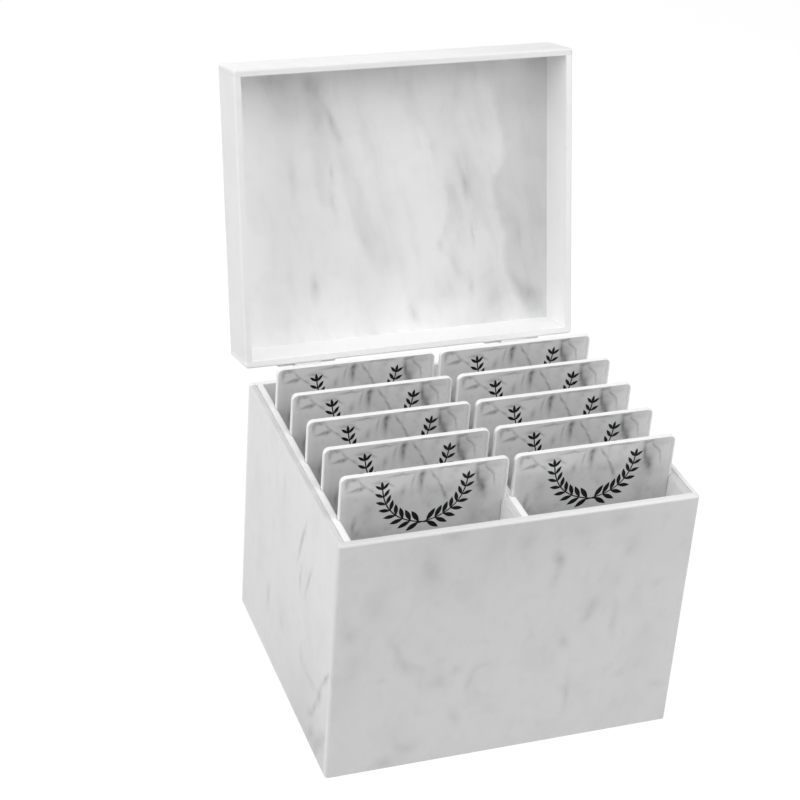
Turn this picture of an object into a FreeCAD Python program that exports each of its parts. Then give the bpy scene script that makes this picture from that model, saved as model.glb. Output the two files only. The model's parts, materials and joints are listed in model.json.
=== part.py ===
"""Hinged marble-look case for lash tiles: an open base with slotted racks,
a box lid standing open on two hinges, and two columns of tiles in the slots.

Millimetres. Z is up, Y runs from the front to the back, and the origin is the
middle of the base's underside. The lid is built closed and turned open.
"""
import FreeCAD, Part
import math
import os

from FreeCAD import Vector

# Case
case_width = 200.0
case_depth = 168.0
base_height = 149.0
lid_height = 32.0
sheet = 4.0
edge_round = 2.0
rim_round = 1.4
lid_seat_gap = 0.3
open_angle = 104.4

# Racks
rack_thickness = 4.0
rack_round = 1.2
outer_slot_depth = 1.4
middle_slot_depth = 2.7
groove_width = 1.2
groove_depth = 1.0
row_count = 5
front_pocket = 18.8
back_pocket = 25.6

# Tiles
tile_thickness = 2.8
tile_corner = 3.4
tile_end_clearance = 0.35
tile_face_clearance = 0.35
tile_seat_gap = 0.2
tile_headroom = 3.4

# Hinges
hinge_width = 34.0
hinge_inset = 20.0
hinge_offset = 4.8
leaf_thickness = 1.6
leaf_reach = 22.0
barrel_radius = 3.2
barrel_clearance = 0.4
knuckle_length = 9.0
knuckle_gap = 0.3
pin_radius = 1.6
pin_running_clearance = 0.05
pin_proud = 0.6

# Screws
screw_radius = 1.3
screw_bite = 2.8
screw_head_radius = 2.5
screw_head_height = 1.1
screw_hole_clearance = 0.1
screw_margin = 7.0
screw_slot_width = 0.7
screw_slot_depth = 0.5

cut_overrun = 1.0

# Worked out from the sizes above
half_width = case_width / 2
half_depth = case_depth / 2
inner_half_width = half_width - sheet
inner_half_depth = half_depth - sheet
lid_floor = base_height + lid_seat_gap
lid_ceiling = lid_floor + lid_height - sheet
row_pitch = (2 * inner_half_depth - front_pocket - back_pocket - tile_thickness) / (row_count - 1)
tile_bottom = sheet + tile_seat_gap
tile_top = lid_ceiling - tile_headroom
hinge_y = half_depth + hinge_offset
hinge_z = base_height + lid_seat_gap / 2
hinge_centre = half_width - hinge_inset - hinge_width / 2
leaf_start = barrel_radius + barrel_clearance
screw_height = (leaf_start + leaf_reach) / 2


def block(low, high):
    """A box between two opposite corners."""
    size = [b - a for a, b in zip(low, high)]
    return Part.makeBox(size[0], size[1], size[2], Vector(*low))


def rounded(shape, radius, places):
    """Round the edges that lie at the given places, such as "x-y-" for the
    edge along Z at the least x and the least y."""
    box = shape.BoundBox
    limits = {
        "x-": box.XMin, "x+": box.XMax,
        "y-": box.YMin, "y+": box.YMax,
        "z-": box.ZMin, "z+": box.ZMax,
    }
    chosen = []
    for edge in shape.Edges:
        ends = [vertex.Point for vertex in edge.Vertexes]
        for place in places:
            sides = [place[:2], place[2:]]
            if all(abs(getattr(p, s[0]) - limits[s]) < radius / 100 for s in sides for p in ends):
                chosen.append(edge)
    return shape.makeFillet(radius, chosen)


def mirrored(shape):
    """The same piece on the other side of the case."""
    return shape.mirror(Vector(0, 0, 0), Vector(1, 0, 0))


def opened(shape):
    """A piece of the closed lid, turned to where the lid stands open."""
    turned = shape.copy()
    turned.rotate(Vector(0, hinge_y, hinge_z), Vector(1, 0, 0), -open_angle)
    return turned


def rod(x_low, x_high, y, z, radius):
    """A round bar along X."""
    return Part.makeCylinder(radius, x_high - x_low, Vector(x_low, y, z), Vector(1, 0, 0))


def slot_rows():
    """The front face of the tile in each row, from front to back."""
    first = -inner_half_depth + front_pocket
    return [first + row * row_pitch for row in range(row_count)]


def base_floor():
    return block(
        (-inner_half_width, -inner_half_depth, 0),
        (inner_half_width, inner_half_depth, sheet),
    )


def base_front():
    wall = block((-half_width, -half_depth, 0), (half_width, -inner_half_depth, base_height))
    wall = rounded(wall, edge_round, ["x-y-", "x+y-"])
    return rounded(wall, rim_round, ["y-z+"])


def base_back():
    wall = block((-half_width, inner_half_depth, 0), (half_width, half_depth, base_height))
    wall = rounded(wall, edge_round, ["x-y+", "x+y+"])
    wall = rounded(wall, rim_round, ["y+z+"])
    for centre in (-hinge_centre, hinge_centre):
        wall = wall.cut(screw_holes(centre, hinge_z - screw_height, screw_radius, 0))
    return wall


def base_left():
    wall = block((-half_width, -inner_half_depth, 0), (-inner_half_width, inner_half_depth, base_height))
    wall = rounded(wall, rim_round, ["x-z+"])
    groove = block(
        (-inner_half_width - groove_width, -inner_half_depth - cut_overrun, base_height - groove_depth),
        (-inner_half_width + cut_overrun, inner_half_depth + cut_overrun, base_height + cut_overrun),
    )
    return wall.cut(groove)


def slotted_plate(x_back, x_face, slot_depth):
    """A rack plate whose slots open at x_face, rounded along the top there."""
    plate = block(
        (min(x_back, x_face), -inner_half_depth, sheet),
        (max(x_back, x_face), inner_half_depth, base_height),
    )
    inward = math.copysign(1, x_face - x_back)
    plate = rounded(plate, rack_round, ["x+z+" if inward > 0 else "x-z+"])
    for front in slot_rows():
        x_ends = sorted([x_face - inward * slot_depth, x_face + inward * cut_overrun])
        slot = block(
            (x_ends[0], front - tile_face_clearance, sheet - cut_overrun),
            (x_ends[1], front + tile_thickness + tile_face_clearance, base_height + cut_overrun),
        )
        plate = plate.cut(slot)
    return plate


def rack_left():
    return slotted_plate(-inner_half_width, -inner_half_width + rack_thickness, outer_slot_depth)


def rack_mid_left():
    plate = slotted_plate(0, -rack_thickness, middle_slot_depth)
    groove = block(
        (-(rack_thickness - middle_slot_depth), -inner_half_depth - cut_overrun, base_height - groove_depth),
        (cut_overrun, inner_half_depth + cut_overrun, base_height + cut_overrun),
    )
    return plate.cut(groove)


def rack_mid_right():
    return slotted_plate(0, rack_thickness, middle_slot_depth)


def tile(front):
    """A tile of the left column with its front face at the given place."""
    x_low = -inner_half_width + rack_thickness - outer_slot_depth + tile_end_clearance
    x_high = -rack_thickness + middle_slot_depth - tile_end_clearance
    plate = block((x_low, front, tile_bottom), (x_high, front + tile_thickness, tile_top))
    return rounded(plate, tile_corner, ["x-z-", "x-z+", "x+z-", "x+z+"])


def lid_top():
    panel = block(
        (-half_width, -half_depth, lid_ceiling),
        (half_width, half_depth, lid_ceiling + sheet),
    )
    panel = rounded(panel, edge_round, ["x-y-", "x+y-", "x-y+", "x+y+"])
    return rounded(panel, rim_round, ["y-z+", "y+z+", "x-z+", "x+z+"])


def lid_front():
    wall = block((-half_width, -half_depth, lid_floor), (half_width, -inner_half_depth, lid_ceiling))
    wall = rounded(wall, edge_round, ["x-y-", "x+y-"])
    return rounded(wall, rim_round, ["y-z-"])


def lid_back():
    wall = block((-half_width, inner_half_depth, lid_floor), (half_width, half_depth, lid_ceiling))
    wall = rounded(wall, edge_round, ["x-y+", "x+y+"])
    wall = rounded(wall, rim_round, ["y+z-"])
    for centre in (-hinge_centre, hinge_centre):
        wall = wall.cut(screw_holes(centre, hinge_z + screw_height, screw_radius, 0))
    return wall


def lid_left():
    wall = block(
        (-half_width, -inner_half_depth, lid_floor),
        (-inner_half_width, inner_half_depth, lid_ceiling),
    )
    return rounded(wall, rim_round, ["x-z-"])


def screw_places(centre):
    """Where a leaf's two screws stand along X, a margin in from its ends."""
    reach = hinge_width / 2 - screw_margin
    return [centre - reach, centre + reach]


def screw_holes(centre, z, radius, outwards):
    """Holes for one leaf's screws, from the bottom of the bite outwards."""
    deep = half_depth - screw_bite
    length = screw_bite + outwards + cut_overrun
    holes = [
        Part.makeCylinder(radius, length, Vector(x, deep, z), Vector(0, 1, 0))
        for x in screw_places(centre)
    ]
    return Part.makeCompound(holes)


def screws(z):
    """The screws of both leaves at one height."""
    seat = half_depth + leaf_thickness
    made = []
    for centre in (-hinge_centre, hinge_centre):
        for x in screw_places(centre):
            shank = Part.makeCylinder(
                screw_radius, screw_bite + leaf_thickness, Vector(x, half_depth - screw_bite, z), Vector(0, 1, 0)
            )
            head = Part.makeCylinder(screw_head_radius, screw_head_height, Vector(x, seat, z), Vector(0, 1, 0))
            driver = block(
                (x - screw_head_radius, seat + screw_head_height - screw_slot_depth, z - screw_slot_width / 2),
                (x + screw_head_radius, seat + screw_head_height + cut_overrun, z + screw_slot_width / 2),
            )
            made.append(shank.fuse(head).removeSplitter().cut(driver))
    return Part.makeCompound(made)


def knuckle(x_low, x_high, side):
    """One knuckle with the arm that joins it to its leaf: side is -1 for the
    base's leaf, below the pin, and 1 for the lid's, above it."""
    rim = side * lid_seat_gap / 2
    root = side * (leaf_start + leaf_thickness)
    outline = [
        (half_depth, root),
        (half_depth, rim),
        (hinge_y, rim),
        (hinge_y, side * barrel_radius),
        (half_depth + leaf_thickness, root),
    ]
    points = [Vector(x_low, y, hinge_z + z) for y, z in outline]
    arm = Part.Face(Part.makePolygon(points + points[:1])).extrude(Vector(x_high - x_low, 0, 0))
    return arm.fuse(rod(x_low, x_high, hinge_y, hinge_z, barrel_radius))


def leaf(centre, side, knuckles, bore):
    """A hinge leaf on the back of the base or of the closed lid."""
    low = centre - hinge_width / 2
    high = centre + hinge_width / 2
    z_ends = sorted([hinge_z + side * leaf_start, hinge_z + side * leaf_reach])
    body = block((low, half_depth, z_ends[0]), (high, half_depth + leaf_thickness, z_ends[1]))
    for x_low, x_high in knuckles:
        body = body.fuse(knuckle(x_low, x_high, side))
    body = body.removeSplitter()
    body = body.cut(rod(low - cut_overrun, high + cut_overrun, hinge_y, hinge_z, bore))
    holes = screw_holes(
        centre, hinge_z + side * screw_height, screw_radius + screw_hole_clearance, leaf_thickness
    )
    return body.cut(holes)


def hinge_base(centre):
    low = centre - hinge_width / 2
    high = centre + hinge_width / 2
    return leaf(centre, -1, [(low, low + knuckle_length), (high - knuckle_length, high)], pin_radius)


def hinge_lid(centre):
    reach = hinge_width / 2 - knuckle_length - knuckle_gap
    return leaf(centre, 1, [(centre - reach, centre + reach)], pin_radius + pin_running_clearance)


def hinge_pins():
    reach = hinge_width / 2 + pin_proud
    pins = [
        rod(centre - reach, centre + reach, hinge_y, hinge_z, pin_radius)
        for centre in (-hinge_centre, hinge_centre)
    ]
    return Part.makeCompound(pins)


def pieces():
    """Every node of the case, by name."""
    made = {
        "base_floor": base_floor(),
        "base_front": base_front(),
        "base_back": base_back(),
        "base_left": base_left(),
        "base_right": mirrored(base_left()),
        "rack_left": rack_left(),
        "rack_right": mirrored(rack_left()),
        "rack_mid_left": rack_mid_left(),
        "rack_mid_right": rack_mid_right(),
        "hinge_base_left": hinge_base(-hinge_centre),
        "hinge_base_right": hinge_base(hinge_centre),
        "hinge_pins": hinge_pins(),
        "base_screws": screws(hinge_z - screw_height),
        "lid_top": opened(lid_top()),
        "lid_front": opened(lid_front()),
        "lid_back": opened(lid_back()),
        "lid_left": opened(lid_left()),
        "lid_right": opened(mirrored(lid_left())),
        "hinge_lid_left": opened(hinge_lid(-hinge_centre)),
        "hinge_lid_right": opened(hinge_lid(hinge_centre)),
        "lid_screws": opened(screws(hinge_z + screw_height)),
    }
    for row, front in enumerate(slot_rows()):
        made[f"tile_l{row + 1}"] = tile(front)
        made[f"tile_r{row + 1}"] = mirrored(tile(front))
    return made


os.makedirs("parts", exist_ok=True)
for name, shape in pieces().items():
    shape.exportStep(f"parts/{name}.step")
    print(name, "solids", len(shape.Solids), "valid", shape.isValid(), "volume", round(shape.Volume, 1))
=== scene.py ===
# %% [markdown]
# A hinged case of marble-look sheet, standing open, with ten printed tiles in its slots.
# The solid parts come from the frame, in metres and in place. This lesson gives them their finish,
# makes the tiles and their printed ornament, and sets the camera and the studio.

# %% The frame
import json
import math

import bpy
from mathutils import Matrix, Vector


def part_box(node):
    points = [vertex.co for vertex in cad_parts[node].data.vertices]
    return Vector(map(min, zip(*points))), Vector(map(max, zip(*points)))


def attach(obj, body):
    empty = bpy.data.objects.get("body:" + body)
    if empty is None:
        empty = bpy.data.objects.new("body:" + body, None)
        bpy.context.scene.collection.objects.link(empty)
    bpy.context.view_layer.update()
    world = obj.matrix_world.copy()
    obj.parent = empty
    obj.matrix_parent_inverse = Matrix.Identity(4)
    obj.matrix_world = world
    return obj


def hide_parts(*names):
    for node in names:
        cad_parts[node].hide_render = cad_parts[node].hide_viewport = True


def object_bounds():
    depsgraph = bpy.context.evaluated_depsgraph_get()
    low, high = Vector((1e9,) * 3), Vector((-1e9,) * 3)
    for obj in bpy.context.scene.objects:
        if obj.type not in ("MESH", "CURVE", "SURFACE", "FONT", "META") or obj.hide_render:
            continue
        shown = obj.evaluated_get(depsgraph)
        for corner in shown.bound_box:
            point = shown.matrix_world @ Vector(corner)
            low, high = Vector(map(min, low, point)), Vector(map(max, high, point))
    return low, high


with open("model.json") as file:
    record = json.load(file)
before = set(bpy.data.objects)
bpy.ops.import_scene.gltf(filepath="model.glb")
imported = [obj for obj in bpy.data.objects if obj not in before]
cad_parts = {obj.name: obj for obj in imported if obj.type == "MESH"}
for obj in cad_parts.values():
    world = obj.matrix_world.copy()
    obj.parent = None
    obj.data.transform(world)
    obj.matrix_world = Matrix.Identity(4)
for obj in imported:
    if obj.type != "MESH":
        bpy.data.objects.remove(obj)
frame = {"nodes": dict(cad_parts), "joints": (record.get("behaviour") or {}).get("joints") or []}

cad_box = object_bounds()
nodes = frame["nodes"]
MM = 0.001

# %% [markdown]
# The camera stands where the photograph was taken from: in front of the case, to its left and above
# it, with the picture turned a few degrees. A camera could be aimed by hand in the viewport. Here its
# place and turn are named values instead, so that every render comes from the same spot.

# %% The camera
image_width = 800
focal_pixels = 2080.0
camera_place = Vector((-0.38752, -0.88883, 0.73277))
camera_azimuth = math.radians(-21.311)
camera_height = math.radians(30.184)
camera_roll = math.radians(4.278)

away = Vector((
    math.sin(camera_azimuth) * math.cos(camera_height),
    -math.cos(camera_azimuth) * math.cos(camera_height),
    math.sin(camera_height),
))
level = away.cross(Vector((0, 0, 1))).normalized() * -1
upward = away.cross(level)
turn = Matrix.Rotation(camera_roll, 3, away)
camera_data = bpy.data.cameras.new("camera")
camera_data.lens = camera_data.sensor_width * focal_pixels / image_width
camera_data.clip_start = 0.01
camera = bpy.data.objects.new("camera", camera_data)
axes = Matrix((turn @ level, turn @ upward, away)).transposed()
camera.matrix_world = Matrix.Translation(camera_place) @ axes.to_4x4()
bpy.context.collection.objects.link(camera)
bpy.context.scene.camera = camera
bpy.context.scene.view_settings.view_transform = "Standard"
print("camera: lens", round(camera_data.lens, 2), "mm")

# %% [markdown]
# Every finish below is a small tree of nodes. Writing each node by hand takes four or five lines, so
# one helper makes a node, sets its choices, and fills its inputs with values or with wires.

# %% A helper for node trees
def add(tree, kind, inputs=None, **choices):
    """One node in a tree. An input is a plain value, or the socket that it reads."""
    made = tree.nodes.new(kind)
    for name, value in choices.items():
        setattr(made, name, value)
    for key, value in (inputs or {}).items():
        if isinstance(value, bpy.types.NodeSocket):
            tree.links.new(value, made.inputs[key])
        else:
            made.inputs[key].default_value = value
    return made


def math_node(tree, operation, *values, clamp=False):
    """The result of one sum on one, two or three values."""
    inputs = dict(enumerate(values))
    return add(tree, "ShaderNodeMath", inputs, operation=operation, use_clamp=clamp).outputs[0]


def blended(tree, share, first, second):
    """A colour between two others."""
    mix = add(tree, "ShaderNodeMix", {0: share, 6: first, 7: second}, data_type="RGBA")
    return mix.outputs[2]


def ramp(tree, value, start, end):
    """Nought up to the start, one from the end on, and a soft rise between them."""
    return add(tree, "ShaderNodeMapRange", {
        "Value": value, "From Min": start, "From Max": end,
    }, interpolation_type="SMOOTHSTEP").outputs["Result"]


def surface(name):
    """A new material with its tree and its main shader."""
    material = bpy.data.materials.new(name)
    material.use_nodes = True
    tree = material.node_tree
    return material, tree, tree.nodes["Principled BSDF"]


def grey(tone):
    return (tone, tone, tone, 1)


print("helpers: add, math_node, blended, ramp, surface, grey")

# %% [markdown]
# The studio is a pale floor under a soft sky. The picture's background is plain white. Lighting the
# floor until it turns white would also wash out the case, so the floor glows for the camera's rays
# alone, and keeps a trace of the shadow.

# %% The floor and the sky
floor_reach = 6.0
floor_tone = 0.55
floor_glow = 0.93
floor_shadow_share = 0.12
floor_speck_scale = 9.0
floor_roughness = 0.9
sky_strength = 0.04
sky_white = grey(1)


def seen_directly(tree):
    """One for rays that draw the background: the camera's own, mirrored ones and those through glass."""
    path = add(tree, "ShaderNodeLightPath")
    mirrored = math_node(
        tree, "MAXIMUM", path.outputs["Is Glossy Ray"], path.outputs["Is Transmission Ray"])
    return math_node(tree, "MAXIMUM", path.outputs["Is Camera Ray"], mirrored)


def floor_finish():
    material, tree, shader = surface("studio_floor")
    speck = add(tree, "ShaderNodeTexNoise", {"Scale": floor_speck_scale, "Detail": 3.0})
    tone = add(tree, "ShaderNodeMapRange", {
        "Value": speck.outputs["Fac"], "To Min": floor_tone * 0.97, "To Max": floor_tone * 1.03})
    tree.links.new(tone.outputs["Result"], shader.inputs["Base Color"])
    shader.inputs["Roughness"].default_value = floor_roughness
    shader.inputs["Specular IOR Level"].default_value = 0.0
    faint = add(tree, "ShaderNodeBsdfDiffuse", {"Color": grey(floor_shadow_share)})
    glow = add(tree, "ShaderNodeEmission", {"Strength": floor_glow})
    white = add(tree, "ShaderNodeAddShader", {0: faint.outputs[0], 1: glow.outputs[0]})
    mixed = add(tree, "ShaderNodeMixShader", {
        0: seen_directly(tree), 1: shader.outputs[0], 2: white.outputs[0]})
    tree.links.new(mixed.outputs[0], tree.nodes["Material Output"].inputs["Surface"])
    return material


def make_floor():
    mesh = bpy.data.meshes.new("studio_floor")
    corners = [(-1, -1), (1, -1), (1, 1), (-1, 1)]
    mesh.from_pydata([(x * floor_reach, y * floor_reach, 0) for x, y in corners], [], [(0, 1, 2, 3)])
    mesh.materials.append(floor_finish())
    floor = bpy.data.objects.new("studio_floor", mesh)
    bpy.context.collection.objects.link(floor)


def make_sky():
    world = bpy.data.worlds.new("studio_sky")
    bpy.context.scene.world = world
    world.use_nodes = True
    tree = world.node_tree
    soft = tree.nodes["Background"]
    soft.inputs["Color"].default_value = sky_white
    soft.inputs["Strength"].default_value = sky_strength
    white = add(tree, "ShaderNodeBackground", {"Color": sky_white, "Strength": 1.0})
    mixed = add(tree, "ShaderNodeMixShader", {
        0: seen_directly(tree), 1: soft.outputs[0], 2: white.outputs[0]})
    tree.links.new(mixed.outputs[0], tree.nodes["World Output"].inputs["Surface"])


make_floor()
make_sky()
print("studio: floor tone", floor_tone, "sky", sky_strength)

# %% [markdown]
# Five large softboxes light the case: one above its front, one to each side, one straight overhead and
# a weak one behind it. A single lamp would leave the inside of the open lid, or one of the sides, in the
# dark. Their size next to the case is what makes the shadows in the picture so soft.

# %% The softboxes
softbox_distance = 1.6
softbox_size = 1.3
softboxes = {
    "softbox_front": ((0, -0.6, 0.9), 8.2),
    "softbox_left": ((-1, -0.1, 0.5), 15.9),
    "softbox_right": ((0.8, -0.7, 0.5), 10.5),
    "softbox_top": ((0, 0, 1), 7.6),
    "softbox_back": ((0, 1, 0.35), 4.4),
}


def make_softbox(name, direction, power):
    lamp = bpy.data.lights.new(name, "AREA")
    lamp.shape = "SQUARE"
    lamp.size = softbox_size
    lamp.energy = power
    box = bpy.data.objects.new(name, lamp)
    middle = (cad_box[0] + cad_box[1]) / 2
    box.location = middle + Vector(direction).normalized() * softbox_distance
    box.rotation_euler = Vector(direction).to_track_quat("Z", "Y").to_euler()
    bpy.context.collection.objects.link(box)
    print(name, power, "W")


for name, (direction, power) in softboxes.items():
    make_softbox(name, direction, power)

# %% [markdown]
# The sheet is white acrylic with a marble look: pale clouds, and smudges and veins of darker grey.
# Marble could be one noise texture for all the panels, but on the real case each panel was cut
# from another spot of the sheet and has its own marks. So a panel's finish is clouds from noise, plus
# strokes and veins set down one by one. They are drawn on a flat place on the panel, which noise pushes
# about a little, so that no mark has a ruled edge.

# %% Places on a panel
def panel_place(tree, turn, corner=(0, 0, 0)):
    """A point's place on its panel: across, up and through the sheet, in metres."""
    place = add(tree, "ShaderNodeTexCoord").outputs["Object"]
    return add(tree, "ShaderNodeMapping", {
        "Vector": place, "Location": corner, "Rotation": [math.radians(a) for a in turn],
    }, vector_type="TEXTURE").outputs["Vector"]


def wandering(tree, place, size, reach):
    """The same place, pushed about by noise whose bumps have the given size."""
    noise = add(tree, "ShaderNodeTexNoise", {"Vector": place, "Scale": 1 / size, "Detail": 3.0})
    centred = add(tree, "ShaderNodeVectorMath", {
        0: noise.outputs["Color"], 1: (0.5, 0.5, 0.5)}, operation="SUBTRACT").outputs[0]
    return add(tree, "ShaderNodeVectorMath", {
        0: centred, 1: (reach, reach, 0), 2: place}, operation="MULTIPLY_ADD").outputs[0]


def flattened(tree, place):
    """The same place, as if the sheet had no thickness."""
    return add(tree, "ShaderNodeVectorMath", {0: place, 1: (1, 1, 0)}, operation="MULTIPLY").outputs[0]


print("places: across, up and through each panel")

# %% [markdown]
# Clouds are the broad, soft patches of grey in the stone. They could be painted by hand, dab by dab, but
# there are too many. Noise that turns dark between two levels gives them at any size, and stretched
# and turned it gives streaks.

# %% Clouds
def clouds(tree, place, size, low, high, depth, stretch=(1, 1, 1), turn=0.0):
    """Soft darker patches where noise of the given size passes from low to high."""
    local = add(tree, "ShaderNodeMapping", {
        "Vector": place, "Rotation": (0, 0, math.radians(-turn)), "Scale": stretch,
    }, vector_type="TEXTURE").outputs["Vector"]
    noise = add(tree, "ShaderNodeTexNoise", {"Vector": local, "Scale": 1 / size, "Detail": 4.0})
    return add(tree, "ShaderNodeMapRange", {
        "Value": noise.outputs["Fac"], "From Min": low, "From Max": high, "To Max": depth,
    }, interpolation_type="SMOOTHSTEP").outputs["Result"]


print("clouds: patches and streaks from noise")

# %% [markdown]
# A stroke is one smudge in the stone, darkest in its middle. Noise would put smudges anywhere, and the
# eye knows where they are on this case. So each is a round gradient, squeezed to an ellipse and
# turned, that adds its grey to what is there. A stroke of less than nought makes a paler patch.

# %% Strokes
def stroke(tree, place, so_far, centre, size, turn, depth, crisp=1.0):
    """Adds one smudge: its middle, its length and width in millimetres, its turn in degrees from
    upright, how dark it is, and how many times crisper its left side is than its right."""
    local = add(tree, "ShaderNodeMapping", {
        "Vector": place,
        "Location": (centre[0] * MM, centre[1] * MM, 0),
        "Rotation": (0, 0, math.radians(-turn)),
        "Scale": (size[1] / 2 * MM, size[0] / 2 * MM, 1),
    }, vector_type="TEXTURE").outputs["Vector"]
    if crisp != 1.0:
        parts = add(tree, "ShaderNodeSeparateXYZ", {"Vector": local})
        left = math_node(tree, "MULTIPLY", parts.outputs["X"], -crisp)
        across = math_node(tree, "MAXIMUM", left, parts.outputs["X"])
        local = add(tree, "ShaderNodeCombineXYZ", {"X": across, "Y": parts.outputs["Y"]}).outputs[0]
    dab = add(tree, "ShaderNodeTexGradient", {"Vector": local}, gradient_type="QUADRATIC_SPHERE")
    return math_node(tree, "MULTIPLY_ADD", dab.outputs["Fac"], depth, so_far)


print("strokes: smudges set down one by one")

# %% [markdown]
# A vein is a long dark line that bends on its way and fades to one side. A row of strokes along it would
# look like beads on a string. So a curve gives how far across the vein lies at each height, and the
# grey falls off to the left and to the right of that line.

# %% Veins
vein_span = 100
vein_fade_share = 0.15


def vein(tree, place, so_far, path, left, right, depth):
    """Adds one vein: its path from bottom to top, and how far it spreads to the left and to the right
    of the path, in millimetres, then how dark it is."""
    parts = add(tree, "ShaderNodeSeparateXYZ", {"Vector": place})
    low, high = path[0][1], path[-1][1]
    share = add(tree, "ShaderNodeMapRange", {
        "Value": parts.outputs["Y"], "From Min": low * MM, "From Max": high * MM}).outputs["Result"]
    bend = add(tree, "ShaderNodeFloatCurve", {"Value": share})
    line = bend.mapping.curves[0].points
    knots = [((up - low) / (high - low), across / vein_span / 2 + 0.5) for across, up in path]
    line[0].location, line[1].location = knots[0], knots[-1]
    for knot in knots[1:-1]:
        line.new(*knot)
    bend.mapping.update()
    middle = math_node(tree, "MULTIPLY_ADD", bend.outputs[0], 2 * vein_span * MM, -vein_span * MM)
    offset = math_node(tree, "SUBTRACT", parts.outputs["X"], middle)
    rise = ramp(tree, offset, -left * MM, 0)
    fall = ramp(tree, offset, right * MM, 0)
    body = math_node(tree, "MULTIPLY", rise, fall)
    foot = ramp(tree, share, 0, vein_fade_share)
    tip = ramp(tree, share, 1, 1 - vein_fade_share)
    ends = math_node(tree, "MULTIPLY", foot, tip)
    return math_node(tree, "MULTIPLY_ADD", math_node(tree, "MULTIPLY", body, ends), depth, so_far)


print("veins: lines up to", vein_span, "mm to each side of a panel's middle")

# %% [markdown]
# Over the marble lies a gloss. One number for it would look like window glass, so its roughness varies
# with a haze, and a faint ripple bends the light, as on cast sheet. Along the top of a wall the colour
# turns grey: painted shade on the top faces, which the light from above makes the brightest.

# %% The sheet's gloss and its painted top shade
haze_scale = 60.0
grain_scale = 350.0
grain_depth = 0.4 * MM
case_side = cad_box[1].x


def polished(tree, shader, place, roughness, spread, ripple):
    """A moulded gloss: roughness that varies a little, and the faint ripple of cast sheet."""
    haze = add(tree, "ShaderNodeTexNoise", {"Vector": place, "Scale": haze_scale, "Detail": 4.0})
    rough = add(tree, "ShaderNodeMapRange", {
        "Value": haze.outputs["Fac"], "To Min": roughness - spread, "To Max": roughness + spread})
    tree.links.new(rough.outputs["Result"], shader.inputs["Roughness"])
    grain = add(tree, "ShaderNodeTexNoise", {"Vector": place, "Scale": grain_scale, "Detail": 2.0})
    bump = add(tree, "ShaderNodeBump", {
        "Height": grain.outputs["Fac"], "Strength": ripple, "Distance": grain_depth})
    tree.links.new(bump.outputs["Normal"], shader.inputs["Normal"])


def painted_top_shade(tree, place, colour, top, fade, left, right):
    """Painted shade: the same colour turned grey along the top, with a grey that runs from its left end
    to its right.
    """
    parts = add(tree, "ShaderNodeSeparateXYZ", {"Vector": place})
    across = ramp(tree, parts.outputs["X"], -case_side, case_side)
    tone = blended(tree, across, grey(left), grey(right))
    share = ramp(tree, parts.outputs["Y"], top - fade, top - fade / 4)
    return blended(tree, share, colour, tone)


print("gloss: haze", haze_scale, "and ripple", grain_scale, "to the metre")

# %% [markdown]
# The finish of a sheet puts all this together: clouds first, then streaks, strokes and veins, all adding
# to one shade that turns the pale sheet towards dark stone. A mixer for each mark would work too, but
# the last mark would hide the others.

# %% The sheet's finish
stone_dark = (0.30, 0.30, 0.305, 1)
drift = dict(size=0.04, reach=0.010)
quiver = dict(size=0.008, reach=0.004)
broad_patches = dict(size=0.035, low=0.42, high=0.72)
small_patches = dict(size=0.010, low=0.50, high=0.75)
sheet_gloss = dict(roughness=0.42, spread=0.05, ripple=0.04)


def marble(name, turn, corner=(0, 0, 0), strokes=(), veins=(), cloud_depth=0.05, streaks=(),
           pale=0.86, rim_shade=None):
    """One panel's marble. A row of strokes or of veins is what those take after the value so far."""
    material, tree, shader = surface(name)
    place = panel_place(tree, turn, corner)
    loose = wandering(tree, wandering(tree, place, **drift), **quiver)
    shade = clouds(tree, loose, depth=cloud_depth, **broad_patches)
    fine = clouds(tree, loose, depth=cloud_depth, **small_patches)
    shade = math_node(tree, "ADD", shade, fine)
    for layer in streaks:
        shade = math_node(tree, "ADD", shade, clouds(tree, loose, **layer))
    flat = flattened(tree, loose)
    for row in strokes:
        shade = stroke(tree, flat, shade, *row)
    for row in veins:
        shade = vein(tree, flat, shade, *row)
    shade = math_node(tree, "ADD", shade, 0.0, clamp=True)
    colour = blended(tree, shade, grey(pale), stone_dark)
    # painted shade along the top of a wall, where the light from above falls
    if rim_shade:
        colour = painted_top_shade(tree, place, colour, *rim_shade)
    tree.links.new(colour, shader.inputs["Base Color"])
    polished(tree, shader, place, **sheet_gloss)
    print("marble:", name, "with", len(strokes), "strokes and", len(veins), "veins")
    return material


print("sheet: a finish of clouds, strokes and veins")
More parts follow.
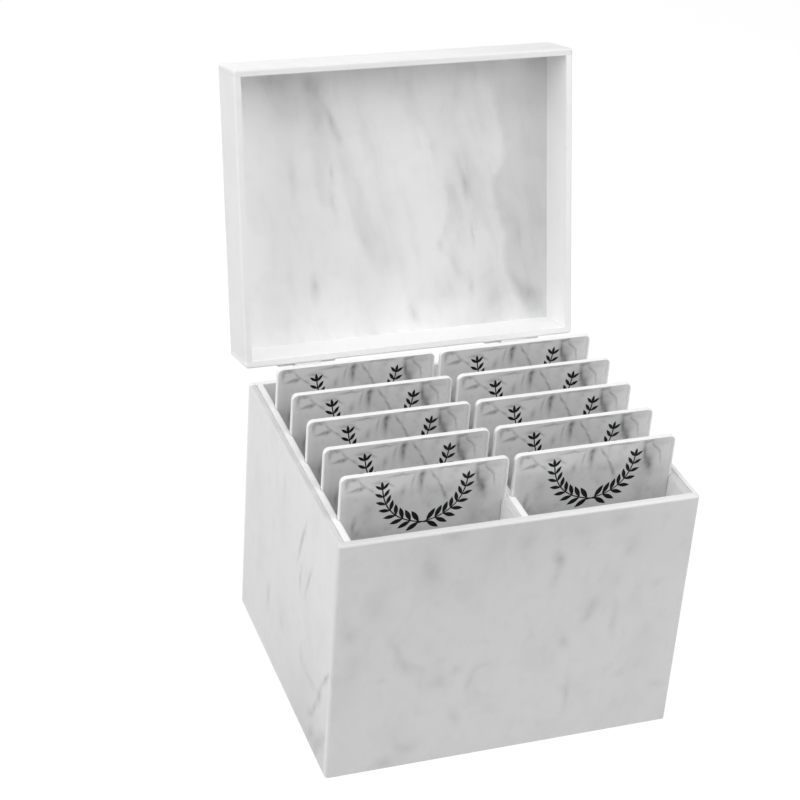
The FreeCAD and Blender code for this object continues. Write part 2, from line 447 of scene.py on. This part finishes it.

# %% [markdown]
# The front of the case has small smudges all over, and is a little darker along its top, which is
# painted shade. Each row below gives a stroke's middle and its size in millimetres on the panel, a turn
# in degrees clockwise from upright, and a depth of grey. The first three rows are wide and faint: painted
# shade over the whole panel, darkest towards its top.

# %% The front's strokes
front_strokes = [
    # painted shade: the first three rows darken the panel towards its top
    ((-10, 150), (120, 260), 0, 0.10),
    ((0, 140), (260, 500), 0, 0.12),
    ((90, 125), (90, 90), 0, 0.07),
    ((21.5, 121), (22, 12), -4, 0.43),
    ((20, 109), (26, 12), 15, 0.18),
    ((45, 89), (22, 13.5), 20, 0.22),
    ((42, 82), (19, 13.5), 30, 0.22),
    ((57.5, 76), (43, 9.5), 0, 0.20),
    ((30.5, 68), (24, 11), -8, 0.23),
    ((35.5, 30), (50, 8), -2, 0.22),
    ((-50, 130), (70, 36), 0, 0.16),
    ((-48, 124), (37, 19), 0, 0.13),
    ((-37, 146), (17, 24.5), 0, 0.23),
    ((-77, 108), (48, 24.5), 10, 0.14),
    ((-91, 93), (26, 22), 0, 0.24),
    ((-88, 75), (43, 24.5), 20, 0.13),
    ((-64, 78), (45, 9.5), -32, 0.18),
    ((-59, 67), (22, 19), -30, 0.20),
    ((-39, 54), (24, 23), 20, 0.22),
    ((-30, 61), (14, 12), 40, 0.18),
    ((-21, 52), (24, 11), 8, 0.16),
    ((-15, 60), (9, 24.5), -10, 0.13),
    ((-29, 27), (24, 12), -12, 0.18),
    ((-54, 12), (17, 27), -20, 0.18),
    ((-68, 4), (16, 26), 0, 0.22),
    ((55, 143), (20, 34), 0, 0.16),
    ((64, 122), (24, 16), 20, 0.18),
    ((57, 104), (32, 27), 0, 0.11),
    ((34, 138), (28, 28), 0, 0.12),
    ((3, 136), (28, 17.5), 8, 0.16),
    ((-15, 133), (39, 21.5), 5, 0.09),
    ((83, 97), (10, 16), 0, 0.12),
    ((92, 27), (13, 15), 0, 0.14),
    ((66, 39), (11, 16), 0, 0.11),
    ((-73, 60), (11, 13.5), 0, 0.13),
]
print("front:", len(front_strokes), "strokes")

# %% [markdown]
# The left side has a few fine lines that slant, some of them in a bundle near its front bottom corner. As
# veins they would need a path each, and they are short and straight, so they are long thin strokes. The
# first two rows are wide and faint: painted shade, darker towards the bottom and the front.

# %% The left side's strokes
left_strokes = [
    # painted shade: the first two rows darken the side towards its bottom and front
    ((-60, 0), (140, 170), 0, 0.16),
    ((-35, 10), (340, 360), 0, 0.22),
    ((-25.5, 113), (60, 6.5), -19, 0.60),
    ((-39, 98), (50, 6.5), -20, 0.42),
    ((-27, 90), (30, 6), 3, 0.36),
    ((-76, 59), (48, 7), -31, 0.50),
    ((-67.5, 42), (26, 12), -18, 0.44),
    ((-60, 30), (30, 10), -38, 0.40),
    ((-53, 20), (24, 11), -48, 0.30),
    ((-76, 20), (64, 12), -35, 0.25),
    ((-66, 10), (50, 16), -40, 0.22),
    ((-55, 8), (32, 14), -42, 0.28),
    ((31.5, 40), (32, 13), 4, 0.32),
    ((8, 126), (44, 10), -6, 0.14),
    ((5, 40), (14, 13), -40, 0.18),
    ((-34, 45), (30, 8), 0, 0.14),
    ((-52, 41), (12, 56), 0, 0.18),
]
print("left side:", len(left_strokes), "strokes")

# %% [markdown]
# Each wall of the base has a turn that lays its place flat on the panel, and a corner that shifts the
# noise to another spot of the sheet. One finish for all the walls would show the same clouds on each.
# The front and the left wall also get painted shade along their top: a grey that tones down the top
# faces, which the light from above makes the brightest.

# %% The base's panels
UPRIGHT = (90, 0, 0)
SIDEWAYS = (90, 0, 90)
LYING = (0, 0, 0)
base_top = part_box("base_front")[1].z
top_shade_fade = 1.2 * MM

mottled = [
    dict(size=0.022, low=0.45, high=0.75, depth=0.07, stretch=(1, 1.7, 1)),
    dict(size=0.006, low=0.50, high=0.80, depth=0.07, stretch=(1, 1.7, 1)),
]
# painted shade: the front and left walls get a grey along their top faces
marble_front = marble(
    "marble_front", UPRIGHT, strokes=front_strokes, cloud_depth=0.03, streaks=mottled, pale=0.86,
    rim_shade=(base_top, top_shade_fade, 0.74, 0.86))
marble_left = marble(
    "marble_left", SIDEWAYS, strokes=left_strokes, cloud_depth=0.03, streaks=mottled, pale=0.865,
    rim_shade=(base_top, top_shade_fade, 0.70, 0.70))
slanting = [dict(size=0.012, low=0.52, high=0.78, depth=0.16, stretch=(1, 6, 1), turn=-18)]
marble_right = marble("marble_right", SIDEWAYS, corner=(0.4, 0.3, 0.2), streaks=slanting)
# The back is paler than the other walls: painted light that lifts the shade on its inside face.
marble_back = marble("marble_back", UPRIGHT, corner=(0.5, 0.7, 0.1), streaks=slanting, pale=0.94)
marble_under = marble("marble_under", LYING, corner=(0.2, 0.6, 0.9))

# %% [markdown]
# The inside of the open lid has the boldest marble: long soft streaks, many of them crisp on their left
# side and fading to the right. Noise stretched along the lean of the streaks gives the faint ones,
# and the rows below the bold ones. A fifth number in a row says how many times crisper the left side is.
# The row of less than nought is painted light beside the left wall, and the last four rows are marble
# and painted shade along the top, under the lid's top wall.

# %% The lid's strokes
lid_strokes = [
    ((-45, 150), (40, 18), -12, 0.28),
    ((-45, 134), (54, 36), -12, 0.26),
    ((-40, 112), (70, 30), -14, 0.15),
    ((-36.5, 131), (36, 10), -24, 0.40),
    ((-33, 121), (26, 16), -30, 0.20),
    ((-31, 107), (54, 26), -12, 0.16, 3),
    ((-37.5, 103), (20, 5), -6, 0.26),
    ((-37, 86), (30, 6), -6, 0.22),
    ((-26, 80), (76, 32), -14, 0.15, 4),
    ((-19, 60), (64, 40), -24, 0.12, 3),
    ((-4, 48), (44, 44), -40, 0.06),
    ((-70, 156), (36, 50), 0, 0.20),
    ((-58, 146), (54, 76), 0, 0.16),
    ((-50, 153), (28, 16), -10, 0.24),
    ((-62, 138), (44, 36), -10, 0.10),
    ((-60.5, 100), (50, 9), -6, 0.16),
    ((-49, 37), (26, 10), -4, 0.36),
    ((24, 113), (44, 16), -14, 0.12, 2),
    ((33, 84), (50, 22), -8, 0.18, 4),
    ((32, 126), (80, 46), -10, 0.12),
    ((31, 66), (32, 14), 10, 0.14, 2),
    ((28, 55), (18, 8), -10, 0.24),
    ((37, 42), (44, 14), -28, 0.20, 2),
    ((46, 28), (32, 8), -6, 0.20),
    ((62, 20), (60, 56), -20, 0.36),
    ((50, 6), (36, 110), 0, 0.24),
    ((44, 90), (240, 120), -10, 0.15),
    ((0, 150), (64, 250), 0, 0.12),
    ((60, 30), (70, 60), -20, 0.10),
    ((48, 90), (100, 46), -10, 0.10),
    ((45, 88), (38, 8), -8, 0.32),
    ((48, 60), (30, 5), -2, 0.28),
    ((40, 105), (34, 12), -12, 0.12),
    ((76, 60), (56, 20), -10, 0.14),
    ((80, 24), (48, 18), -38, 0.17),
    ((82, 108), (40, 24), 0, 0.07),
    ((58, 128), (110, 56), 0, 0.13),
    ((30, 26), (60, 64), 0, 0.22),
    ((86, 20), (34, 26), 0, 0.24),
    ((58, 42), (44, 40), 0, 0.10),
    # painted light: a paler patch against the shade beside the lid's left wall
    ((-84, 56), (100, 44), 0, -0.10),
    ((88, 10), (34, 40), -30, 0.22),
    ((12, 14), (26, 9), -16, 0.30),
    # marble and painted shade along the top, under the lid's top wall
    ((0, 160), (24, 70), 0, 0.05),
    ((45, 156), (28, 64), 0, 0.10),
    ((10, 146), (34, 12), -8, 0.12),
    ((38, 143), (34, 14), -10, 0.12),
]
right_shade = [(93, 2), (80, 24), (72, 42), (71, 56), (67, 74), (66, 88), (73, 103), (70, 120), (64, 160)]
lid_veins = [(right_shade, 6, 90, 0.21)]
print("lid:", len(lid_strokes), "strokes and", len(lid_veins), "vein")

# %% [markdown]
# The lid stands open in the picture, so a place on its panels is measured up the leaning sheet, from a
# point at the sheet's foot. The lean comes from the hinge's own range. Each wall of the lid gets its own
# spot of the marble and its own paleness, because the picture shows each in another light.

# %% The lid's panels
hinge = next(j for j in frame["joints"] if j["name"] == "lid_hinge")
lid_lean = 180 + min(hinge["range_deg"])
ON_LID = (lid_lean, 0, 0)
lid_foot = (0, 0.0900, 0.1538)
lid_streaks = [
    dict(size=0.026, low=0.44, high=0.76, depth=0.09, stretch=(1, 4, 1), turn=-14),
    dict(size=0.011, low=0.48, high=0.80, depth=0.12, stretch=(1, 5, 1), turn=-14),
    dict(size=0.005, low=0.50, high=0.80, depth=0.06, stretch=(1, 4, 1), turn=-10),
]
marble_lid = marble(
    "marble_lid", ON_LID, lid_foot, strokes=lid_strokes, veins=lid_veins, cloud_depth=0.04,
    streaks=lid_streaks, pale=0.905)
marble_side = marble("marble_side", ON_LID, (0.3, 0.4, 0.6), cloud_depth=0.04, pale=0.96)
marble_flank = marble("marble_flank", ON_LID, (0.6, 0.8, 0.3), cloud_depth=0.05, pale=0.91)
marble_edge = marble("marble_edge", ON_LID, (0.9, 0.2, 0.4), cloud_depth=0.05, pale=0.87)
marble_foot = marble("marble_foot", ON_LID, (0.1, 0.5, 0.8), cloud_depth=0.02, pale=0.985)

# %% [markdown]
# The racks that hold the tiles are plain white sheet with sawn slots. A flat white would look like
# paint, so the finish has the faintest clouds, a gloss that varies, and the ripple of cast sheet. On two
# of them the top and its rounded edge get painted shade, greyer than the face, over the glint of the
# light from above.

# %% The racks
rack_sheet = dict(turn=UPRIGHT, cloud_depth=0.02, pale=0.95)
rack_top_shade_fade = 1.4 * MM
top_shade_tone = 0.62
rack_white = marble("rack_white", **rack_sheet)
# painted shade: a grey over the top and the rounded edge, hiding the glint from above
rack_shaded_top = marble("rack_shaded_top", **rack_sheet, rim_shade=(base_top, rack_top_shade_fade, top_shade_tone, top_shade_tone))

# %% [markdown]
# The walls and racks come from the frame with their shapes right, so they keep their meshes and only get
# a finish. Slots could be filled one by one in the properties panel. A list of finishes and nodes is
# easier to read, and shows that no panel was forgotten.

# %% Which finish goes where
def finish(material, *names):
    """Puts a finish in every material slot of these nodes."""
    for name in names:
        mesh = nodes[name].data
        if not mesh.materials:
            mesh.materials.append(material)
        for index in range(len(mesh.materials)):
            mesh.materials[index] = material
    print("finish:", material.name, "on", ", ".join(names))


finish(marble_front, "base_front")
finish(marble_left, "base_left")
finish(marble_right, "base_right")
finish(marble_back, "base_back")
finish(marble_under, "base_floor")
finish(marble_lid, "lid_top")
finish(marble_flank, "lid_left")
finish(marble_side, "lid_right")
finish(marble_edge, "lid_front")
finish(marble_foot, "lid_back")
finish(rack_white, "rack_left", "rack_mid_right")
finish(rack_shaded_top, "rack_mid_left", "rack_right")

# %% [markdown]
# The two hinges are steel under white lacquer, and their pins and screws are bright plated. Lacquer
# could be plain white, but a sprayed coat has a fine peel and a sheen that varies. Plated metal is all
# reflection, so its finish is in the roughness: fine marks, as a polishing wheel leaves them.

# %% The metal
polish_scale = 400.0
peel_scale = 700.0
lacquer_gloss = dict(roughness=0.32, spread=0.06, ripple=0.10)


def plated(name, tone, roughness):
    """Bright metal with fine marks in its tone and its roughness."""
    material, tree, shader = surface(name)
    place = add(tree, "ShaderNodeTexCoord").outputs["Object"]
    marks = add(tree, "ShaderNodeTexNoise", {"Vector": place, "Scale": polish_scale, "Detail": 4.0})
    cast = add(tree, "ShaderNodeMapRange", {
        "Value": marks.outputs["Fac"], "To Min": tone * 0.93, "To Max": tone * 1.05})
    tree.links.new(cast.outputs["Result"], shader.inputs["Base Color"])
    rough = add(tree, "ShaderNodeMapRange", {
        "Value": marks.outputs["Fac"], "To Min": roughness * 0.7, "To Max": roughness * 1.4})
    tree.links.new(rough.outputs["Result"], shader.inputs["Roughness"])
    shader.inputs["Metallic"].default_value = 1.0
    return material


def lacquered(name, tone):
    """A sprayed coat with a fine peel."""
    material, tree, shader = surface(name)
    place = add(tree, "ShaderNodeTexCoord").outputs["Object"]
    peel = add(tree, "ShaderNodeTexNoise", {"Vector": place, "Scale": peel_scale, "Detail": 2.0})
    cast = blended(tree, peel.outputs["Fac"], grey(tone * 0.97), grey(tone * 1.02))
    tree.links.new(cast, shader.inputs["Base Color"])
    polished(tree, shader, place, **lacquer_gloss)
    return material


hinge_lacquer = lacquered("hinge_lacquer", 0.92)
screw_metal = plated("screw_metal", 0.66, 0.20)
finish(hinge_lacquer, "hinge_base_left", "hinge_base_right", "hinge_lid_left", "hinge_lid_right")
finish(screw_metal, "hinge_pins", "base_screws", "lid_screws")

# %% [markdown]
# A tile is a white plate with a grey marble print on its front. All ten prints are alike, so the
# print's pattern is laid out on the tile itself: across from the tile's middle and up from its top edge.
# A texture map could do that. As both columns stand the same distance from the middle of the case, one
# sum on the object's own coordinates does it too, and works on any mesh.

# %% The film's strokes
film_strokes = [
    ((-42.5, -4.5), (11, 3.6), 8, 0.68),
    ((-38, -8), (15, 3.8), 82, 0.68),
    ((-39.5, -2.6), (11, 3.6), 86, 0.68),
    ((-35, -8), (7, 5), 70, 0.52),
    ((-35, -5), (11, 3), -40, 0.42),
    ((-25.5, -4.8), (16, 5), 88, 0.54),
    ((-19.5, -6.5), (12, 3.2), -50, 0.54),
    ((-30, -9.5), (12, 3), -50, 0.54),
    ((-14, -2.0), (30, 3), 87, 0.63),
    ((14, -1.6), (36, 2.6), 89, 0.51),
    ((31, -2.2), (12, 3), 86, 0.54),
    ((-2, -7.5), (24, 6.5), 3, 0.83),
    ((-1.5, -2.8), (7, 9), 0, 0.63),
    ((-6.5, -6), (16, 3), 6, 0.45),
    ((-12, -12), (14, 7), 10, 0.45),
    ((5, -5), (14, 2.8), -32, 0.63),
    ((9, -12), (15, 2.8), -22, 0.63),
    ((11, -18), (13, 5), -20, 0.68),
    ((29.5, -8), (26, 4.4), -4, 0.63),
    ((32, -16), (18, 7), -16, 0.63),
    ((35, -6), (16, 3), -22, 0.51),
    ((37.5, -12), (18, 3), -14, 0.45),
    ((31, -12), (32, 16), -8, 0.33),
    ((24, -12), (16, 14), 0, 0.21),
    ((43.6, -12), (50, 2), 0, 0.39),
    ((-38, -31), (20, 5), 6, 0.60),
    ((-36, -36), (14, 7), 20, 0.45),
    ((28, -34), (36, 18), 0, 0.24),
    ((-30, -22), (34, 16), 10, 0.18),
]
tile_low, tile_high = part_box("tile_r1")
column_middle = (tile_low.x + tile_high.x) / 2


def tile_place(tree):
    """A point's place on its own tile."""
    place = add(tree, "ShaderNodeTexCoord").outputs["Object"]
    parts = add(tree, "ShaderNodeSeparateXYZ", {"Vector": place})
    column = math_node(tree, "SIGN", parts.outputs["X"])
    across = math_node(tree, "MULTIPLY_ADD", column, -column_middle, parts.outputs["X"])
    up = math_node(tree, "SUBTRACT", parts.outputs["Z"], tile_high.z)
    return add(tree, "ShaderNodeCombineXYZ", {"X": across, "Y": up}).outputs[0]


print("film:", len(film_strokes), "strokes on a tile")

# %% [markdown]
# The film is a glossy print, darker than the walls, with a clear coat that shows the lamps. It stops
# short of the plate's left and right edges, where the picture shows a pale strip. A second mesh could
# carry it, but a print has no thickness, so it is a finish on the plate's front face.

# %% The tile's finishes
film_pale = (0.74, 0.74, 0.745, 1)
film_dark = (0.17, 0.17, 0.175, 1)
film_drift = dict(size=0.02, reach=0.006)
film_quiver = dict(size=0.004, reach=0.002)
film_clouds = [
    dict(size=0.022, low=0.40, high=0.75, depth=0.22),
    dict(size=0.006, low=0.50, high=0.75, depth=0.14),
]
film_gloss = dict(roughness=0.14, spread=0.04, ripple=0.01)
film_edge = (tile_high.x - tile_low.x) / 2 - 1.0 * MM
paling_width = 4 * MM
paling_share = 0.45
paling_tone = 0.82
strip_fade = 0.3 * MM
strip_tone = 0.90
film_coat = 0.8
film_coat_roughness = 0.04


def film_finish():
    """Grey marble that pales towards the sides and ends at a pale strip."""
    material, tree, shader = surface("tile_film")
    place = tile_place(tree)
    loose = wandering(tree, wandering(tree, place, **film_drift), **film_quiver)
    broad, small = [clouds(tree, loose, **layer) for layer in film_clouds]
    shade = math_node(tree, "ADD", broad, small)
    for row in film_strokes:
        shade = stroke(tree, loose, shade, *row)
    shade = math_node(tree, "ADD", shade, 0.0, clamp=True)
    colour = blended(tree, shade, film_pale, film_dark)
    across = add(tree, "ShaderNodeSeparateXYZ", {"Vector": place}).outputs["X"]
    outward = math_node(tree, "ABSOLUTE", across)
    near_edge = ramp(tree, outward, film_edge - paling_width, film_edge)
    paling = math_node(tree, "MULTIPLY", near_edge, paling_share)
    colour = blended(tree, paling, colour, grey(paling_tone))
    strip = ramp(tree, outward, film_edge, film_edge + strip_fade)
    colour = blended(tree, strip, colour, grey(strip_tone))
    tree.links.new(colour, shader.inputs["Base Color"])
    polished(tree, shader, place, **film_gloss)
    shader.inputs["Coat Weight"].default_value = film_coat
    shader.inputs["Coat Roughness"].default_value = film_coat_roughness
    return material


tile_film = film_finish()
tile_white = marble("tile_white", UPRIGHT, (0.7, 0.1, 0.5), cloud_depth=0.02, pale=0.97)
print("tile:", tile_film.name, "in front,", tile_white.name, "elsewhere")

# %% [markdown]
# The tiles and their prints repeat ten times, so both are grown by Geometry Nodes. A tree has named
# inputs for its sizes. A modifier runs it once for each piece, and the result is kept as a plain mesh,
# because the finished model is handed on without its modifiers.

# %% Growing a mesh from a tree
bevel_steps = 3
bevel_from = math.radians(60)


def geometry_tree(name, sockets):
    """An empty tree of Geometry Nodes with named inputs, and its two ends."""
    tree = bpy.data.node_groups.new(name, "GeometryNodeTree")
    for label, kind in sockets.items():
        tree.interface.new_socket(label, in_out="INPUT", socket_type="NodeSocket" + kind)
    tree.interface.new_socket("Geometry", in_out="OUTPUT", socket_type="NodeSocketGeometry")
    return tree, add(tree, "NodeGroupInput").outputs, add(tree, "NodeGroupOutput").inputs[0]


def grown(name, tree, values, edge_round=0.0):
    """A piece made by a tree, turned into a plain mesh."""
    seed = bpy.data.meshes.new(name + "_seed")
    piece = bpy.data.objects.new(name, seed)
    bpy.context.collection.objects.link(piece)
    grow = piece.modifiers.new("grow", "NODES")
    grow.node_group = tree
    for item in tree.interface.items_tree:
        if item.in_out == "INPUT":
            grow[item.identifier] = values[item.name]
    if edge_round:
        bevel = piece.modifiers.new("round", "BEVEL")
        bevel.width = edge_round
        bevel.segments = bevel_steps
        bevel.limit_method = "ANGLE"
        bevel.angle_limit = bevel_from
    evaluated = piece.evaluated_get(bpy.context.evaluated_depsgraph_get())
    mesh = bpy.data.meshes.new_from_object(evaluated)
    mesh.materials.clear()
    mesh.materials.append(values["Finish"])
    piece.modifiers.clear()
    piece.data = mesh
    bpy.data.meshes.remove(seed)
    return piece


print("growing: trees with named inputs, kept as plain meshes")

# %% [markdown]
# A tile's shape follows a rule: a rectangle with rounded corners, given a thickness. It could be drawn
# point by point, but then a new size would mean new points. The tree takes its sizes from the frame, and
# a bevel rounds the edges, because no sheet is cut so sharp that its edges show no glint.

# %% The tile's tree
merge_within = 0.01 * MM
UPWARDS = (math.radians(90), 0, 0)


def thickened(tree, face, thickness, within):
    """A closed plate from a flat face: its walls and far side, and its near side turned outwards."""
    walls = add(tree, "GeometryNodeExtrudeMesh", {
        "Mesh": face, "Offset Scale": thickness, "Individual": False})
    near = add(tree, "GeometryNodeFlipFaces", {"Mesh": face})
    joined = add(tree, "GeometryNodeJoinGeometry")
    tree.links.new(walls.outputs[0], joined.inputs[0])
    tree.links.new(near.outputs[0], joined.inputs[0])
    return add(tree, "GeometryNodeMergeByDistance", {
        "Geometry": joined.outputs[0], "Distance": within}).outputs[0]


def stand_and_paint(tree, geometry, given, out):
    """The end of both trees: stood upright in its place, made real, and given its finish."""
    stood = add(tree, "GeometryNodeTransform", {
        "Geometry": geometry, "Rotation": UPWARDS, "Translation": given["Place"]})
    real = add(tree, "GeometryNodeRealizeInstances", {"Geometry": stood.outputs[0]})
    painted = add(tree, "GeometryNodeSetMaterial", {
        "Geometry": real.outputs[0], "Material": given["Finish"]})
    tree.links.new(painted.outputs[0], out)


def tile_tree():
    tree, given, out = geometry_tree("tile_plate", {
        "Width": "Float", "Height": "Float", "Thickness": "Float", "Corner": "Float",
        "Place": "Vector", "Finish": "Material",
    })
    outline = add(tree, "GeometryNodeCurvePrimitiveQuadrilateral", {
        "Width": given["Width"], "Height": given["Height"]})
    softened = add(tree, "GeometryNodeFilletCurve", {
        "Curve": outline.outputs[0], "Radius": given["Corner"], "Count": 7}, mode="POLY")
    face = add(tree, "GeometryNodeFillCurve", {"Curve": softened.outputs[0]}, mode="NGONS")
    plate = thickened(tree, face.outputs[0], given["Thickness"], merge_within)
    stand_and_paint(tree, plate, given, out)
    return tree


plate_tree = tile_tree()
print("tree:", plate_tree.name, "with", len(plate_tree.nodes), "nodes")

# %% [markdown]
# Each tile stands in its own slots, rides on its own body, and stands in for the plain solid of its node,
# at that node's size and place. Its front face gets the film, and its back and edges stay white.

# %% The tiles
tile_corner = 3.4 * MM
tile_edge = 0.45 * MM


def make_tile(name, tree):
    """One tile in the place of its node."""
    low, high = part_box(name)
    size = high - low
    tile = grown(name.replace("tile", "tile_plate"), tree, {
        "Width": size.x, "Height": size.z, "Thickness": size.y, "Corner": tile_corner,
        "Place": ((low.x + high.x) / 2, high.y, (low.z + high.z) / 2), "Finish": tile_film,
    }, tile_edge)
    tile.data.materials.append(tile_white)
    for face in tile.data.polygons:
        faces_front = face.normal.y < -0.999
        face.material_index = 0 if faces_front else 1
    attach(tile, name)
    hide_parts(name)
    return tile


tile_names = sorted(name for name in nodes if name.startswith("tile_"))
tiles = [make_tile(name, plate_tree) for name in tile_names]
print("tiles:", len(tiles), "with", len(tiles[0].data.polygons), "faces each")

# %% [markdown]
# Each tile carries a printed ornament: a pair of leafy sprigs in black ink. Ink could be plain black, but
# a print on film has a fine grain, and a sheen that is duller than the film round it.

# %% The ink
ink_grain_scale = 900.0
ink_dark = (0.006, 0.006, 0.007, 1)
ink_pale = (0.016, 0.016, 0.017, 1)
ink_gloss = 0.12
ink_roughness = (0.42, 0.60)


def ink_finish():
    """Black ink with a fine grain."""
    material, tree, shader = surface("print_ink")
    place = add(tree, "ShaderNodeTexCoord").outputs["Object"]
    grain = add(tree, "ShaderNodeTexNoise", {"Vector": place, "Scale": ink_grain_scale, "Detail": 3.0})
    tone = blended(tree, grain.outputs["Fac"], ink_dark, ink_pale)
    tree.links.new(tone, shader.inputs["Base Color"])
    rough = add(tree, "ShaderNodeMapRange", {
        "Value": grain.outputs["Fac"], "To Min": ink_roughness[0], "To Max": ink_roughness[1]})
    tree.links.new(rough.outputs["Result"], shader.inputs["Roughness"])
    shader.inputs["Specular IOR Level"].default_value = ink_gloss
    return material


print_ink = ink_finish()
print("ink:", print_ink.name)

# %% [markdown]
# A leaf is widest in its middle and comes to a point at both ends. It could be drawn point by point. Here
# a ring of points is pulled into that outline by a sine, so that its length and width stay free. The
# ink is a thin closed plate, so that the print shows in the mesh itself.

# %% A leaf
leaf_points = 16
leaf_merge_within = 0.001 * MM


def leaf_shape(tree, length, width, ink):
    """A leaf lying along X from its stalk: a ring of points drawn to a point at both ends."""
    ring = add(tree, "GeometryNodeMeshCircle", {"Vertices": leaf_points, "Radius": 1.0}, fill_type="NGON")
    position = add(tree, "GeometryNodeInputPosition").outputs[0]
    parts = add(tree, "ShaderNodeSeparateXYZ", {"Vector": position})
    along = math_node(tree, "MULTIPLY_ADD", parts.outputs["X"], 0.5, 0.5)
    swell = math_node(tree, "SINE", math_node(tree, "MULTIPLY", along, math.pi))
    side = math_node(tree, "MULTIPLY", math_node(tree, "SIGN", parts.outputs["Y"]), swell)
    half_width = math_node(tree, "MULTIPLY", width, 0.5)
    place = add(tree, "ShaderNodeCombineXYZ", {
        "X": math_node(tree, "MULTIPLY", along, length),
        "Y": math_node(tree, "MULTIPLY", side, half_width)})
    drawn = add(tree, "GeometryNodeSetPosition", {
        "Geometry": ring.outputs[0], "Position": place.outputs[0]})
    return thickened(tree, drawn.outputs[0], ink, leaf_merge_within)


print("leaf: a ring of", leaf_points, "points")

# %% [markdown]
# A sprig is a stem with a leaf to each side at every step, and one more at the tip. Leaves could be
# placed by hand. Points along a curve carry them instead, turn with the stem, and shrink towards the tip.

# %% A stem and its leaves
stem_steps = 24
foot_share = -0.12
bend_out_share = 0.9
bend_up_share = 0.1
tip_shrink = -0.42


def stem_curve(tree, reach, rise, side):
    """One stem on the left or the right: out from its foot, then up."""
    far = math_node(tree, "MULTIPLY", reach, side)
    foot = add(tree, "ShaderNodeCombineXYZ", {"X": math_node(tree, "MULTIPLY", far, foot_share)})
    out = math_node(tree, "MULTIPLY", far, bend_out_share)
    up = math_node(tree, "MULTIPLY", rise, bend_up_share)
    bend = add(tree, "ShaderNodeCombineXYZ", {"X": out, "Y": up})
    tip = add(tree, "ShaderNodeCombineXYZ", {"X": far, "Y": rise})
    curve = add(tree, "GeometryNodeCurveQuadraticBezier", {
        "Resolution": stem_steps, "Start": foot.outputs[0], "Middle": bend.outputs[0],
        "End": tip.outputs[0]})
    return add(tree, "GeometryNodeSetCurveNormal", {"Curve": curve.outputs[0]}, mode="Z_UP").outputs[0]


def leaves_along(tree, curve, leaf, count, spread):
    """Leaves to both sides of a stem, and one more at its tip."""
    points = add(tree, "GeometryNodeCurveToPoints", {"Curve": curve, "Count": count}, mode="COUNT")
    parts = add(tree, "ShaderNodeSeparateXYZ", {"Vector": points.outputs["Tangent"]})
    heading = math_node(tree, "ARCTAN2", parts.outputs["Y"], parts.outputs["X"])
    index = add(tree, "GeometryNodeInputIndex").outputs[0]
    last = math_node(tree, "SUBTRACT", count, 1)
    along = math_node(tree, "DIVIDE", index, last)
    size = math_node(tree, "MULTIPLY_ADD", along, tip_shrink, 1.0)
    above_foot = math_node(tree, "GREATER_THAN", index, 0.5)
    at_tip = math_node(tree, "COMPARE", index, last, 0.5)
    made = []
    for side, chosen in ((-1, above_foot), (1, above_foot), (0, at_tip)):
        angle = math_node(tree, "MULTIPLY_ADD", spread, side, heading)
        euler = add(tree, "ShaderNodeCombineXYZ", {"Z": angle})
        turned = add(tree, "FunctionNodeEulerToRotation", {0: euler.outputs[0]})
        made.append(add(tree, "GeometryNodeInstanceOnPoints", {
            "Points": points.outputs["Points"], "Instance": leaf, "Selection": chosen,
            "Rotation": turned.outputs[0], "Scale": size}).outputs[0])
    return made


print("stem:", stem_steps, "steps")

# %% [markdown]
# Two sprigs, one bending to the left and one to the right, make the ornament. All ten are alike, so one
# tree with named sizes grows them all, and half of the ink's thickness sinks into the film.

# %% The pair of sprigs
sprig_sizes = {
    "Reach": 23 * MM, "Rise": 23 * MM, "Leaf Length": 9 * MM, "Leaf Width": 3.0 * MM,
    "Leaf Spread": math.radians(46), "Leaves": 9, "Stem Width": 0.7 * MM, "Ink": 0.06 * MM,
}


def sprig_tree():
    kinds = {name: "Float" for name in sprig_sizes}
    kinds.update({"Leaves": "Int", "Place": "Vector", "Finish": "Material"})
    tree, given, out = geometry_tree("sprig_pair", kinds)
    leaf = leaf_shape(tree, given["Leaf Length"], given["Leaf Width"], given["Ink"])
    half_ink = math_node(tree, "MULTIPLY", given["Ink"], -0.5)
    sunk = add(tree, "ShaderNodeCombineXYZ", {"Z": half_ink})
    leaf = add(tree, "GeometryNodeTransform", {
        "Geometry": leaf, "Translation": sunk.outputs[0]}).outputs[0]
    ribbon = add(tree, "GeometryNodeCurvePrimitiveQuadrilateral", {
        "Width": given["Stem Width"], "Height": given["Ink"]}).outputs[0]
    joined = add(tree, "GeometryNodeJoinGeometry")
    for side in (-1, 1):
        curve = stem_curve(tree, given["Reach"], given["Rise"], side)
        stem = add(tree, "GeometryNodeCurveToMesh", {
            "Curve": curve, "Profile Curve": ribbon, "Fill Caps": True}).outputs[0]
        tree.links.new(stem, joined.inputs[0])
        for leaves in leaves_along(tree, curve, leaf, given["Leaves"], given["Leaf Spread"]):
            tree.links.new(leaves, joined.inputs[0])
    stand_and_paint(tree, joined.outputs[0], given, out)
    return tree


ornament_tree = sprig_tree()
print("tree:", ornament_tree.name, "with", len(ornament_tree.nodes), "nodes")

# %% [markdown]
# The ornament is printed on the front of each tile, below its top edge, and moves with it when the
# tile is lifted out. It could be part of the tile's mesh, but as a piece of its own it keeps its own
# finish.

# %% Printing the tiles
sprig_drop = 33 * MM


def print_sprigs(name, tree):
    """One tile's ornament, on its front face."""
    low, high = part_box(name)
    place = ((low.x + high.x) / 2, low.y, high.z - sprig_drop)
    sprigs = grown(name.replace("tile", "tile_print"), tree, {
        **sprig_sizes, "Place": place, "Finish": print_ink})
    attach(sprigs, name)
    return sprigs


prints = [print_sprigs(name, ornament_tree) for name in tile_names]
print("prints:", len(prints), "with", len(prints[0].data.polygons), "faces each")
